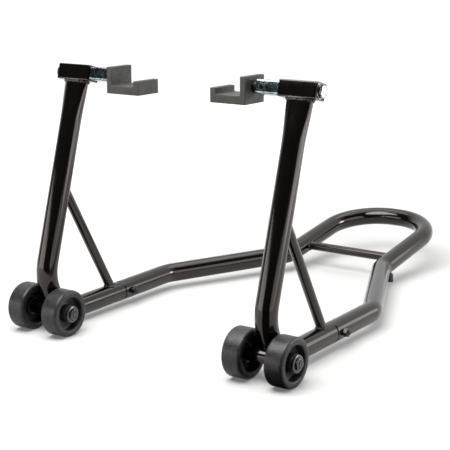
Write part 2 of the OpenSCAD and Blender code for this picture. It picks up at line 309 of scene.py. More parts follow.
def wheel_plastic():
    m = Nodes("wheel_plastic")
    mottle = m.noise(5 * MM, 6, 0.7)
    colour = m.ramp(mottle, [(0.4, (0.006, 0.0055, 0.0059)), (0.6, (0.021, 0.0193, 0.0205))])
    rough = m.spread(m.noise(3 * MM, 5, 0.65), 0.3, 0.5, 0.38, 0.62)
    grain = m.bump(m.noise(0.9 * MM, 3), 0.05 * MM, 0.6)
    grain = m.bump(m.noise(7 * MM, 3), 0.2 * MM, 0.5, grain)
    return m.set(Base_Color=colour, Roughness=rough, Normal=grain, Specular_IOR_Level=0.32)


def saddle_rubber():
    m = Nodes("saddle_rubber")
    stops = [(0.3, (0.027, 0.0262, 0.024)), (0.7, (0.038, 0.037, 0.034))]
    colour = m.ramp(m.noise(18 * MM, 5, 0.6), stops)
    rough = m.spread(m.noise(7 * MM, 3), 0.5, 0.65, 0.3, 0.7)
    grain = m.bump(m.noise(0.7 * MM, 3), 0.06 * MM, 0.7)
    return m.set(Base_Color=colour, Roughness=rough, Normal=grain, Specular_IOR_Level=0.25)


def foot_rubber():
    m = Nodes("foot_rubber")
    colour = m.ramp(m.noise(8 * MM, 4), [(0.3, grey(0.012)), (0.7, grey(0.02))])
    grain = m.bump(m.noise(0.8 * MM, 3), 0.05 * MM, 0.6)
    return m.set(Base_Color=colour, Roughness=0.6, Normal=grain)


def zinc_plate(name, dark, light, rough_low, rough_high):
    """Cells and fine noise mixed half and half, as in the crystals of zinc plating."""
    m = Nodes(name)
    spangle = m.cells(5 * MM)
    mix = m.add("ShaderNodeMix", data_type="FLOAT")
    mix.inputs["Factor"].default_value = 0.5
    m.link(spangle, mix.inputs[2])
    m.link(m.noise(2.2 * MM, 4, 0.65), mix.inputs[3])
    value = mix.outputs[0]
    colour = m.ramp(value, [(0.25, dark), (0.75, light)])
    rough = m.spread(value, rough_low, rough_high, 0.25, 0.75)
    scratches = m.bump(m.noise(0.5 * MM, 3), 0.02 * MM, 0.5)
    return m.set(Base_Color=colour, Metallic=1.0, Roughness=rough, Normal=scratches)


def worn_steel(name, dark, light, rough):
    m = Nodes(name)
    colour = m.ramp(m.noise(3 * MM, 5, 0.6), [(0.3, grey(dark)), (0.7, grey(light))])
    roughness = m.spread(m.noise(2 * MM, 3), rough - 0.07, rough + 0.08, 0.3, 0.7)
    grain = m.bump(m.noise(0.6 * MM, 3), 0.02 * MM, 0.5)
    return m.set(Base_Color=colour, Metallic=1.0, Roughness=roughness, Normal=grain)


MATERIALS = {
    "frame_paint": black_powder_coat(),
    "wheel_plastic": wheel_plastic(),
    "saddle_rubber": saddle_rubber(),
    "foot_rubber": foot_rubber(),
    "zinc_bar": zinc_plate("zinc_bar", (0.08, 0.1, 0.11), (0.3, 0.35, 0.38), 0.1, 0.2),
    "zinc_screw": zinc_plate("zinc_screw", (0.3, 0.32, 0.33), (0.52, 0.54, 0.55), 0.14, 0.26),
    "axle_steel": worn_steel("axle_steel", 0.05, 0.1, 0.24),
    "black_steel": worn_steel("black_steel", 0.03, 0.06, 0.35),
    "inner_steel": worn_steel("inner_steel", 0.03, 0.07, 0.35),
}
WELD_PAINT = weld_paint()

for part in frame["record"]["subparts"]:
    node = frame["nodes"].get(part["node"])
    if node is not None:
        node.data.materials.clear()
        node.data.materials.append(MATERIALS[part["material_slot"]])


# ---- mesh building ----
def skin(rings, loop=False):
    """Closed surface over rings of points: capped at both ends, or joined end to start if loop."""
    count = len(rings[0])
    verts = [point for ring in rings for point in ring]
    faces = []
    for i in range(len(rings) if loop else len(rings) - 1):
        a, b = i * count, (i + 1) % len(rings) * count
        for j in range(count):
            k = (j + 1) % count
            faces.append((a + j, a + k, b + k, b + j))
    if not loop:
        faces.append(tuple(reversed(range(count))))
        faces.append(tuple(range(len(verts) - count, len(verts))))
    return verts, faces


def merged(*shapes):
    verts, faces = [], []
    for more_verts, more_faces in shapes:
        start = len(verts)
        verts += more_verts
        faces += [tuple(start + i for i in face) for face in more_faces]
    return verts, faces


def piece(name, shape, slot, body, stands_for=(), matrix=None, material=None,
          sharp=PLAIN_SMOOTH):
    """A new mesh piece that rides on a body; faces are turned to point outwards."""
    mesh = bpy.data.meshes.new(name)
    verts, faces = shape
    matrix = matrix or Matrix.Identity(4)
    mesh.from_pydata([matrix @ Vector(v) for v in verts], [], faces)
    built = bmesh.new()
    built.from_mesh(mesh)
    bmesh.ops.remove_doubles(built, verts=built.verts, dist=MERGE_DISTANCE)
    bmesh.ops.recalc_face_normals(built, faces=built.faces)
    built.to_mesh(mesh)
    built.free()
    mesh.shade_smooth()
    mesh.set_sharp_from_angle(angle=math.radians(sharp))
    mesh.materials.append(material or MATERIALS[slot])
    obj = bpy.data.objects.new(name, mesh)
    bpy.context.scene.collection.objects.link(obj)
    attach(obj, body)
    if stands_for:
        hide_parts(*stands_for)
    return obj


def filleted(points, radii):
    """Centre line through points with a round bend at each inner point, as (place, direction)
    pairs."""
    line = [(points[0], (points[1] - points[0]).normalized())]
    for i, radius in enumerate(radii, start=1):
        u = (points[i] - points[i - 1]).normalized()
        v = (points[i + 1] - points[i]).normalized()
        turn = u.angle(v)
        inward = (v - u * u.dot(v)).normalized()
        start = points[i] - radius * math.tan(turn / 2) * u
        steps = round(turn / BEND_STEP)
        for k in range(steps + 1):
            a = turn * k / steps
            place = start + radius * (math.sin(a) * u + (1 - math.cos(a)) * inward)
            line.append((place, math.cos(a) * u + math.sin(a) * inward))
    line.append((points[-1], (points[-1] - points[-2]).normalized()))
    return line


def carried(line, first_side):
    """A side direction at each point of a line, turned no more than the line turns."""
    sides = []
    side = first_side
    for _, direction in line:
        side = (side - direction * side.dot(direction)).normalized()
        sides.append(side)
    return sides


def tube_rings(line, first_side, half_axes):
    """Rings round a line, each an oval with its own two half axes."""
    rings = []
    sides = carried(line, first_side)
    for (place, direction), side, (wide, deep) in zip(line, sides, half_axes):
        other = direction.cross(side)
        ring = []
        for j in range(TUBE_SIDES):
            a = math.tau * j / TUBE_SIDES
            ring.append(place + wide * math.cos(a) * side + deep * math.sin(a) * other)
        rings.append(ring)
    return rings


def end_ring(line, at_start, inset):
    """A line's end moved inwards by inset, as a (place, direction) pair."""
    place, direction = line[0] if at_start else line[-1]
    return (place + direction * (inset if at_start else -inset), direction)


def hollow_tube(line, half_axes):
    """The main tube with a bore and softened rims at both ends. The ring close behind each rim
    keeps the rim's shading off the straight wall."""
    starts = [line[0], end_ring(line, True, TUBE_RIM), end_ring(line, True, 2 * TUBE_RIM)]
    ends = [end_ring(line, False, 2 * TUBE_RIM), end_ring(line, False, TUBE_RIM), line[-1]]
    ringed = starts + line[1:-1] + ends
    outer = 2 * half_axes[:1] + half_axes + 2 * half_axes[-1:]
    inner = [(wide - TUBE_WALL, deep - TUBE_WALL) for wide, deep in outer]
    for end in (0, -1):
        outer[end] = tuple(half_axis - TUBE_RIM for half_axis in outer[end])
    first_side = Vector((1, 0, 0))
    outside = tube_rings(ringed, first_side, outer)
    inside = tube_rings(ringed, first_side, inner)
    return skin(outside + inside[::-1], loop=True)


def subdivided(a, b, steps):
    """Points from a to b as a straight line of (place, direction) pairs, without the last."""
    direction = (b - a).normalized()
    return [(a.lerp(b, k / steps), direction) for k in range(steps)]


def meeting_ring(start, direction, radius, axis, tube_r, sign):
    """Where a round bar through start meets the wall of a tube whose axis runs through start,
    as points on the bar's surface. sign 1 takes the side of the tube that the bar comes from."""
    side = direction.cross(axis).normalized()
    other = direction.cross(side)
    ring = []
    for j in range(ROUND_BAR_SIDES):
        a = math.tau * j / ROUND_BAR_SIDES
        place = start + radius * (math.cos(a) * side + math.sin(a) * other)
        gap = place - start
        flat_gap = gap - axis * gap.dot(axis)
        flat_dir = direction - axis * direction.dot(axis)
        qa = flat_dir.length_squared
        qb = flat_gap.dot(flat_dir)
        qc = flat_gap.length_squared - tube_r * tube_r
        root = math.sqrt(max(0.0, qb * qb - qa * qc))
        ring.append(place + direction * ((-qb - sign * root) / qa))
    return ring


def bar_between(a, b, radius, tube_a, tube_b):
    """A round bar from a to b, shaped at both ends to the tubes whose axes pass through a and b.
    Returns the solid and the two closed lines where it meets them."""
    direction = (b - a).normalized()
    near = meeting_ring(a, direction, radius, tube_a, TUBE_R - BAR_SINK, -1)
    far = meeting_ring(b, direction, radius, tube_b, TUBE_R - BAR_SINK, 1)
    side = direction.cross(tube_a).normalized()
    # both rings start from the same side of the bar, whatever way each tube runs
    far_side = direction.cross(tube_b).normalized()
    if side.dot(far_side) < 0:
        far = far[ROUND_BAR_SIDES // 2:] + far[:ROUND_BAR_SIDES // 2]
    near_line = meeting_ring(a, direction, radius, tube_a, TUBE_R, -1)
    far_line = meeting_ring(b, direction, radius, tube_b, TUBE_R, 1)
    return skin([near, far]), near_line, far_line


def resampled(points, spacing):
    """Evenly spaced points along a closed polyline."""
    ends = points + points[:1]
    lengths = [(q - p).length for p, q in zip(ends, ends[1:])]
    total = sum(lengths)
    count = round(total / spacing)
    made = []
    i, passed = 0, 0.0
    for k in range(count):
        target = total * k / count
        while i < len(lengths) - 1 and passed + lengths[i] < target:
            passed += lengths[i]
            i += 1
        share = min(1.0, (target - passed) / lengths[i])
        made.append(ends[i].lerp(ends[i + 1], share))
    return made


def bead(points, radius, seed):
    """A weld bead along a closed line of points: overlapping ripples of uneven size."""
    rng = random.Random(seed)
    line = resampled(points, BEAD_SPACING)
    count = len(line)
    ripples = round(count * BEAD_SPACING / BEAD_PITCH)
    sizes = [rng.uniform(*RIPPLE_SIZES) for _ in range(ripples + 1)]
    shifts = [rng.uniform(*RIPPLE_SHIFTS) for _ in range(ripples + 1)]
    rings = []
    for i, place in enumerate(line):
        direction = (line[(i + 1) % count] - line[i - 1]).normalized()
        side = direction.cross(ANY_WAY).normalized()
        other = direction.cross(side)
        phase = i / count * ripples
        index = int(phase) % ripples
        within = phase - int(phase)
        hump = math.sin(math.pi * min(1.0, within * RIPPLE_LEAN)) ** RIPPLE_FULLNESS
        size = radius * sizes[index] * (RIPPLE_LOW + RIPPLE_RISE * hump)
        centre = place + other * radius * shifts[index] + side * radius * shifts[index - 1]
        ring = []
        for j in range(BEAD_SIDES):
            a = math.tau * j / BEAD_SIDES
            ring.append(centre + size * (math.cos(a) * side + math.sin(a) * other))
        rings.append(ring)
    return skin(rings, loop=True)


def spun(levels, loop=False, count=SPUN_SIDES, hexagon=None):
    """A shape turned about X from (x, radius) levels. hexagon cuts it to that width across flats,
    only at the levels that have a third value."""
    rings = []
    for level in levels:
        x, radius = level[0], level[1]
        ring = []
        for j in range(count):
            a = math.tau * j / count
            r = radius
            if hexagon and len(level) > 2:
                off = (a + math.pi / 6) % (math.pi / 3) - math.pi / 6
                r = min(radius, hexagon / 2 / math.cos(off))
            ring.append(Vector((x, r * math.cos(a), r * math.sin(a))))
        rings.append(ring)
    return skin(rings, loop)


def arc_levels(x, r, radius, start, end, steps):
    """Levels along an arc about (x, r), with its angles in degrees from +X outwards."""
    made = []
    for k in range(steps + 1):
        a = math.radians(start + (end - start) * k / steps)
        made.append((x + radius * math.cos(a), r + radius * math.sin(a)))
    return made


def hex_levels(start, end, across_flats, chamfer_start=True):
    """Levels of a hexagon along X, chamfered at its end and as a rule at its start."""
    corner_r = across_flats / 2 / math.cos(math.pi / 6)
    flat_r = across_flats / 2 * HEX_CHAMFER
    drop = (corner_r - flat_r) * HEX_SLOPE
    slopes = [0, 0.25, 0.5, 0.75, 1]
    way = 1 if end > start else -1
    made = []
    if chamfer_start:
        made += [(start + way * drop * s, flat_r + (corner_r - flat_r) * s, 1) for s in slopes]
    else:
        made.append((start, corner_r, 1))
    made += [(end - way * drop * s, flat_r + (corner_r - flat_r) * s, 1) for s in slopes[::-1]]
    return made


def threaded(start, end, radius, pitch, depth):
    """A threaded bar along X whose last part tapers."""
    steps = round(abs(end - start) / (pitch / STEPS_PER_PITCH))
    rings = []
    for k in range(steps + 1):
        x = start + (end - start) * k / steps
        tip = 1 - max(0.0, k / steps - TAPER_FROM) * TAPER
        ring = []
        for j in range(THREAD_SIDES):
            a = math.tau * j / THREAD_SIDES
            turn = (x / pitch - j / THREAD_SIDES) % 1
            r = (radius - depth * abs(2 * turn - 1)) * tip
            ring.append(Vector((x, r * math.cos(a), r * math.sin(a))))
        rings.append(ring)
    return skin(rings)


def round_square(x, side, radius):
    """A ring of points in the YZ plane: a square with round corners."""
    ring = []
    for turn, (sy, sz) in enumerate(((1, 1), (-1, 1), (-1, -1), (1, -1))):
        centre_y, centre_z = sy * (side / 2 - radius), sz * (side / 2 - radius)
        for k in range(CORNER_STEPS + 1):
            a = math.pi / 2 * (turn + k / CORNER_STEPS)
            y, z = centre_y + radius * math.cos(a), centre_z + radius * math.sin(a)
            ring.append(Vector((x, y, z)))
    return ring


def square_tube(start, end, side, radius, bore, bore_radius, rim):
    """A square tube along X with softened edges at both open ends."""
    outside = [
        (start, side - 2 * rim, radius),
        (start + rim * 0.3, side - 0.6 * rim, radius),
        (start + rim, side, radius),
        (start + 2 * rim, side, radius),
        (end - 2 * rim, side, radius),
        (end - rim, side, radius),
        (end - rim * 0.3, side - 0.6 * rim, radius),
        (end, side - 2 * rim, radius),
    ]
    inside = [(end, bore, bore_radius), (start, bore, bore_radius)]
    return skin([round_square(*ring) for ring in outside + inside], loop=True)


# ---- the frame's tubes ----
def upright_line():
    """From the receiver's underside down the upright, round the bottom bend and along the arm.
    Returns the line and its top."""
    top = upright_point(UPRIGHT_LEN - RECEIVER_SIDE / 2)
    oval_foot = upright_point(UPRIGHT_LEN - RECEIVER_SIDE / 2 - OVAL_LEN)
    down = filleted([oval_foot, corner, arm_point(JOINT_ALONG)], [FRONT_BEND_R])
    return subdivided(top, oval_foot, OVAL_STEPS) + down, top


def front_tube(side):
    line, top = upright_line()
    half_axes = []
    for place, _ in line:
        share = 1 - min(1.0, (place - top).length / OVAL_LEN)
        share = share * share * (3 - 2 * share)  # eased, so the oval starts and ends gently
        wide = TUBE_R + (OVAL_HALF_X - TUBE_R) * share
        deep = TUBE_R + (OVAL_HALF_Y - TUBE_R) * share
        half_axes.append((wide, deep))
    shape = hollow_tube(line, half_axes)
    name = SIDE_NAMES[side]
    piece(f"{name}_front_tube_skin", shape, "frame_paint", "frame",
          [f"{name}_front_tube"], mirrored(side), sharp=TUBE_SMOOTH)


def rear_side(side):
    return [
        arm_point(JOINT_ALONG + JOINT_GAP, side * TRACK_HALF),
        arm_point(FIRST_BEND_ALONG, side * TRACK_HALF),
        arm_point(SECOND_BEND_ALONG, side * HANDLE_HALF),
        handle_point(HANDLE_LEN, side * HANDLE_HALF),
    ]


def rear_tube():
    points = rear_side(LEFT) + rear_side(RIGHT)[::-1]
    radii = [SIDE_BEND_R, SIDE_BEND_R, HANDLE_BEND_R]
    line = filleted(points, radii + radii[::-1])
    shape = hollow_tube(line, [(TUBE_R, TUBE_R)] * len(line))
    piece("rear_tube_skin", shape, "frame_paint", "frame", ["rear_tube"], sharp=TUBE_SMOOTH)


def weld(name, points, radius, seed, matrix=None):
    """A bead of its own, painted with the frame."""
    shape = bead(points, radius, seed)
    piece(name, shape, "frame_paint", "frame", (), matrix, WELD_PAINT, sharp=WELD_SMOOTH)


def brace(side):
    name = SIDE_NAMES[side]
    top = upright_point(BRACE_UP)
    foot = arm_point(BRACE_ALONG)
    shape, upper, lower = bar_between(top, foot, BRACE_R, UP_UPRIGHT, ALONG_ARM.normalized())
    piece(f"{name}_brace_skin", shape, "frame_paint", "frame", [f"{name}_brace"], mirrored(side))
    flip = mirrored(side)
    weld(f"{name}_brace_top_weld", upper, BRACE_TOP_WELD_R, BRACE_TOP_SEED + side, flip)
    weld(f"{name}_brace_foot_weld", lower, BRACE_FOOT_WELD_R, BRACE_FOOT_SEED + side, flip)


def cross_bar():
    ends = [handle_point(CROSS_BAR_ALONG, side * HANDLE_HALF) for side in (LEFT, RIGHT)]
    shape, left_line, right_line = bar_between(*ends, CROSS_BAR_R, ALONG_HANDLE, ALONG_HANDLE)
    piece("cross_bar_skin", shape, "frame_paint", "frame", ["cross_bar"])
    weld("cross_bar_left_weld", left_line, CROSS_BAR_WELD_R, CROSS_BAR_SEED)
    weld("cross_bar_right_weld", right_line, CROSS_BAR_WELD_R, CROSS_BAR_SEED + 1)


RECEIVER_WELD_SINK = 0.6 * MM
RECEIVER_WELD_OUT = 0.1 * MM
RECEIVER_WELD_ROWS = ((0.4 * MM, 2.4 * MM), (2.6 * MM, 1.7 * MM))
RECEIVER_WELD_STEPS = 60


def receiver(side):
    """The square tube on the upright, with two rows of weld round the upright's oval top."""
    name = SIDE_NAMES[side]
    half = length_x("right_receiver") / 2
    shape = square_tube(-half, half, RECEIVER_SIDE, RECEIVER_CORNER,
                        RECEIVER_SIDE - 2 * RECEIVER_WALL, RECEIVER_BORE_CORNER, RECEIVER_RIM)
    piece(f"{name}_receiver_skin", shape, "frame_paint", "frame",
          [f"{name}_receiver"], at_receiver(side))
    wide = OVAL_HALF_X + RECEIVER_WELD_OUT
    deep = OVAL_HALF_Y - RECEIVER_WELD_SINK + RECEIVER_WELD_OUT
    for row, (drop, size) in enumerate(RECEIVER_WELD_ROWS):
        height = -RECEIVER_SIDE / 2 - drop
        oval = []
        for j in range(RECEIVER_WELD_STEPS):
            a = math.tau * j / RECEIVER_WELD_STEPS
            oval.append(Vector((wide * math.cos(a), deep * math.sin(a), height)))
        seed = RECEIVER_SEED + side + RECEIVER_ROW_SEEDS * row
        weld(f"{name}_receiver_weld_{row}", oval, size, seed, at_receiver(side))


for side in (LEFT, RIGHT):
    front_tube(side)
    brace(side)
    receiver(side)
rear_tube()
cross_bar()


# ---- wheels ----
HUB_R = 14 * MM
RIM_R = 26.4 * MM
WEB_HALF = 2.5 * MM
TREAD_EDGE_R = 4.6 * MM
HUB_IN = 8 * MM
HUB_OUT = 16 * MM
TREAD_MIDDLE = 5 * MM


def wheel_face(half, hub, way):
    """One side of a wheel, from its bore out to the tread, as (x, radius) levels."""
    bore_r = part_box("right_outer_bush")[1].z - WHEEL_R
    levels = [(hub - 0.3 * MM, bore_r + 0.03 * MM), (hub, bore_r + 0.4 * MM)]
    levels += [(hub, HUB_R - 0.9 * MM), (hub - 0.25 * MM, HUB_R - 0.3 * MM)]
    levels.append((hub - 0.9 * MM, HUB_R))
    levels += [(WEB_HALF + 1.6 * MM, HUB_R), (WEB_HALF + 0.5 * MM, HUB_R + 0.4 * MM)]
    levels += [(WEB_HALF, HUB_R + 1.6 * MM), (WEB_HALF, RIM_R - 1.6 * MM)]
    levels += [(WEB_HALF + 0.5 * MM, RIM_R - 0.4 * MM), (WEB_HALF + 1.6 * MM, RIM_R)]
    levels += [(half - 2.2 * MM, RIM_R), (half - 1.3 * MM, RIM_R + 0.25 * MM)]
    levels += [(half - 0.5 * MM, RIM_R + 0.9 * MM), (half - 0.1 * MM, RIM_R + 1.8 * MM)]
    levels += [(half, RIM_R + 2.6 * MM), (half, WHEEL_R - TREAD_EDGE_R)]
    edge = (half - TREAD_EDGE_R, WHEEL_R - TREAD_EDGE_R)
    levels += arc_levels(*edge, TREAD_EDGE_R, 10, 90, TREAD_EDGE_STEPS)
    levels.append((TREAD_MIDDLE, WHEEL_R))
    return [(way * x, r) for x, r in levels]


def wheel(name):
    """A dished wheel. The hub's long end is on the side away from the upright."""
    half = length_x(name) / 2
    place = middle(name)
    near, far = wheel_face(half, HUB_IN, -1), wheel_face(half, HUB_OUT, 1)
    shape = spun(near + far[::-1], loop=True, count=WHEEL_SIDES)
    away = math.copysign(1, place.x) * math.copysign(1, abs(place.x) - TRACK_HALF)
    matrix = Matrix.Translation(place) @ Matrix.Scale(away, 4, (1, 0, 0))
    piece(f"{name}_moulding", shape, "wheel_plastic", name, [name], matrix,
          sharp=MOULDING_SMOOTH)


for name in ("left_outer_wheel", "left_inner_wheel", "right_inner_wheel", "right_outer_wheel"):
    wheel(name)


# ---- bolts, nuts and screws ----
M10 = (5 * MM, 1.5 * MM, 0.6 * MM)  # radius, pitch and depth of the thread
M8 = (4 * MM, 1.25 * MM, 0.5 * MM)
NUT_GAP = 0.05 * MM
HEAD_OVERLAP = 0.2 * MM
AXLE_HEX = 17 * MM
AXLE_R = M10[0]
AXLE_THREAD_LEN = 6 * MM
AXLE_NUT_TURN = math.radians(8)
WASHER_OUT = 54 * MM
AXLE_HEAD_H = 5.5 * MM
AXLE_NUT_H = 5.5 * MM
FLANGE_R = 13.3 * MM
FLANGE_H = 2.4 * MM
JOINT_R = M8[0]
JOINT_TIP = 3 * MM
JOINT_TURNS = {LEFT: math.radians(4), RIGHT: math.radians(22)}
JOINT_HEX = 13 * MM
JOINT_HEAD_H = 5.3 * MM
JOINT_NUT_H = 6.5 * MM
SCREW_HEX = 17 * MM
SCREW_R = M10[0]
SCREW_HEAD_H = 6.4 * MM
SCREW_FACE_H = 0.4 * MM
SCREW_FACE_R = SCREW_HEX * 0.46
SCREW_WASHER_R = 10 * MM
SCREW_WASHER_T = 2 * MM
SCREW_WASHER_EDGE = 0.4 * MM
SCREW_WASHER_GAP = 0.1 * MM


def flanged(seat, way, height):
    """Levels of a hexagon with a sloping flange, from its seat outwards along X."""
    rise = FLANGE_H * way
    levels = [(seat, FLANGE_R - 0.5 * MM), (seat + 0.25 * rise, FLANGE_R)]
    levels += [(seat + 0.5 * rise, FLANGE_R), (seat + 0.66 * rise, FLANGE_R - 0.5 * MM)]
    levels.append((seat + rise, AXLE_HEX / 2 + 1.6 * MM))
    return levels + hex_levels(seat + rise, seat + height * way, AXLE_HEX, False)


def axle_hardware(side):
    name = SIDE_NAMES[side]
    place = Matrix.Translation((side * TRACK_HALF, AXLE_Y, WHEEL_R))
    head = spun(flanged(-WASHER_OUT, -1, AXLE_HEAD_H), hexagon=AXLE_HEX)
    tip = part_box(f"{name}_axle_bolt")[1].x - side * TRACK_HALF
    thread_start = tip - AXLE_THREAD_LEN
    shank = spun([(-WASHER_OUT + HEAD_OVERLAP, AXLE_R), (thread_start, AXLE_R)])
    thread = threaded(thread_start, tip, *M10)
    piece(f"{name}_axle_bolt_detail", merged(head, shank, thread), "axle_steel", "frame",
          [f"{name}_axle_bolt"], place, sharp=FASTENER_SMOOTH)
    bore, top = AXLE_R + NUT_GAP, WASHER_OUT + AXLE_NUT_H
    levels = flanged(WASHER_OUT, 1, AXLE_NUT_H)
    levels += [(top, bore + 0.5 * MM), (top - 0.5 * MM, bore), (WASHER_OUT, bore)]
    nut = spun(levels, loop=True, hexagon=AXLE_HEX)
    piece(f"{name}_axle_nut_detail", nut, "axle_steel", "frame", [f"{name}_axle_nut"],
          place @ Matrix.Rotation(side * AXLE_NUT_TURN, 4, "X"), sharp=FASTENER_SMOOTH)


def placed(shape, matrix):
    verts, faces = shape
    return [matrix @ v for v in verts], faces


def joint_hardware():
    """What holds the rear tube to both arms: one piece for the bolts and one for the nuts."""
    bolts, nuts = [], []
    nut_top = TUBE_R + JOINT_NUT_H
    bore = JOINT_R + NUT_GAP
    for side in (LEFT, RIGHT):
        place = Matrix.Translation(arm_point(JOINT_ALONG + JOINT_BOLT_ALONG, side * TRACK_HALF))
        turned = place @ Matrix.Rotation(JOINT_TURNS[side], 4, "X")
        levels = hex_levels(-TUBE_R, -TUBE_R - JOINT_HEAD_H, JOINT_HEX, False)
        head = spun(levels, hexagon=JOINT_HEX)
        shank = spun([(-TUBE_R - HEAD_OVERLAP, JOINT_R), (TUBE_R, JOINT_R)])
        thread = threaded(TUBE_R, nut_top + JOINT_TIP, *M8)
        bolts.append(placed(merged(head, shank, thread), turned))
        levels = hex_levels(TUBE_R, nut_top, JOINT_HEX) + [(nut_top, bore), (TUBE_R, bore)]
        nuts.append(placed(spun(levels, loop=True, hexagon=JOINT_HEX), turned))
    piece("joint_bolts_detail", merged(*bolts), "black_steel", "frame",
          ["joint_bolts"], sharp=FASTENER_SMOOTH)
    piece("joint_nuts_detail", merged(*nuts), "black_steel", "frame",
          ["joint_nuts"], sharp=FASTENER_SMOOTH)


def adjusting_screw(side):
    name = SIDE_NAMES[side]
    low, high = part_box("right_adjust_screw")
    seat = high.x - SCREW_HEAD_H - TRACK_HALF
    tip = low.x - TRACK_HALF
    levels = hex_levels(seat + SCREW_FACE_H, seat + SCREW_HEAD_H, SCREW_HEX, False)
    head = spun([(seat, SCREW_FACE_R)] + levels, hexagon=SCREW_HEX)
    thread = threaded(seat + HEAD_OVERLAP, tip, *M10)
    piece(f"{name}_adjust_screw_detail", merged(head, thread), "zinc_screw", f"{name}_screw",
          [f"{name}_adjust_screw"], at_receiver(side), sharp=FASTENER_SMOOTH)
    face = seat - SCREW_WASHER_T
    edge, hole = SCREW_WASHER_R, SCREW_R + SCREW_WASHER_GAP
    soft_edge, soft = edge - SCREW_WASHER_EDGE, SCREW_WASHER_EDGE
    levels = [(face, hole), (face, soft_edge), (face + soft, edge)]
    levels += [(seat - soft, edge), (seat, soft_edge), (seat, hole)]
    piece(f"{name}_screw_washer_detail", spun(levels, loop=True), "zinc_screw", f"{name}_screw",
          [f"{name}_screw_washer"], at_receiver(side), sharp=FASTENER_SMOOTH)


def slide_bar(side):
    name = SIDE_NAMES[side]
    low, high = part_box("right_slide_bar")
    shape = square_tube(low.x - TRACK_HALF, high.x - TRACK_HALF, BAR_SIDE, BAR_CORNER,
                        BAR_BORE, BAR_BORE_CORNER, BAR_RIM)
    piece(f"{name}_slide_bar_detail", shape, "zinc_bar", f"{name}_slide",
          [f"{name}_slide_bar"], at_receiver(side))


for side in (LEFT, RIGHT):
    axle_hardware(side)
    adjusting_screw(side)
    slide_bar(side)
joint_hardware()


# ---- saddles and feet ----
def saddle_outline():
    """The pad's outline from the floor's outer corner round to the tall leg, as (x, z) points."""
    inner = SADDLE_W - TALL_LEG
    drops = []
    for k in range(ROOT_STEPS + 1):
        a = math.pi / 2 * k / ROOT_STEPS
        drops.append((SADDLE_ROOT_R * (1 - math.cos(a)), SADDLE_ROOT_R * (1 - math.sin(a))))
    points = [(0, 0), (SADDLE_W, 0), (SADDLE_W, SADDLE_H), (inner, SADDLE_H)]
    points += [(inner - along, SADDLE_FLOOR + up) for along, up in drops]
    points += [(SHORT_LEG + along, SADDLE_FLOOR + up) for up, along in drops]
    return points + [(SHORT_LEG, SADDLE_LIP_H), (0, SADDLE_LIP_H)]


def saddle_pad(side):
    name = SIDE_NAMES[side]
    low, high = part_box("right_saddle_pad")
    half = (high.y - low.y) / 2
    outline = saddle_outline()
    rings = [[Vector((x - SADDLE_W, y, z)) for x, z in outline] for y in (-half, half)]
    pad = piece(f"{name}_saddle_pad_moulding", skin(rings), "saddle_rubber", f"{name}_saddle",
                [f"{name}_saddle_pad"], at_saddle(side), sharp=MOULDING_SMOOTH)
    soft = pad.modifiers.new("rounded_edges", "BEVEL")
    soft.width = SADDLE_EDGE_R
    soft.segments = 3
    soft.limit_method = "ANGLE"
    soft.angle_limit = SADDLE_EDGE_ANGLE


def foot(side):
    """A turned rubber foot, slightly narrower at the top."""
    name = SIDE_NAMES[side]
    low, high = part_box(f"{name}_foot")
    radius, height = (high.x - low.x) / 2, high.z - low.z
    levels = [(0, radius - 1 * MM), (0.3 * MM, radius - 0.3 * MM), (1 * MM, radius)]
    levels += [(height - 1 * MM, radius - 0.8 * MM), (height - 0.3 * MM, radius - 1.1 * MM)]
    levels += [(height, radius - 1.8 * MM)]
    place = middle(f"{name}_foot")
    matrix = Matrix.Translation((place.x, place.y, low.z)) @ Matrix.Rotation(-math.pi / 2, 4, "Y")
    piece(f"{name}_foot_moulding", spun(levels, count=FOOT_SIDES), "foot_rubber", "frame",
          [f"{name}_foot"], matrix)


for side in (LEFT, RIGHT):
    saddle_pad(side)
    foot(side)


# ---- studio ----
ROOM_DARK = 0.06
ROOM_BRIGHT = 1.05
ROOM_TURN = math.radians(-18)
ROOM_EDGE = 0.45
FLOOR_R = 3.0
FLOOR_SIDES = 96
FLOOR_DROP = 0.1 * MM
FLOOR_COLOUR = (0.43, 0.428, 0.425)
FLOOR_GLOW = 0.12
GLOW_FROM, GLOW_TO = 0.5, 1.6
# painted shade: the next values paint a dark wedge on the floor's front right corner, seen only in
# reflections
PAINTED_SHADE_COLOUR = (0.02, 0.02, 0.02)
DARK_FROM = (0.2, -0.37, 0)
DARK_TURN = math.radians(152)
DARK_EDGE = 0.8
DARK_BLUR = 0.06


def heading(turn):
    """A level direction, turned from +Y towards +X."""
    return (math.sin(turn), math.cos(turn), 0)


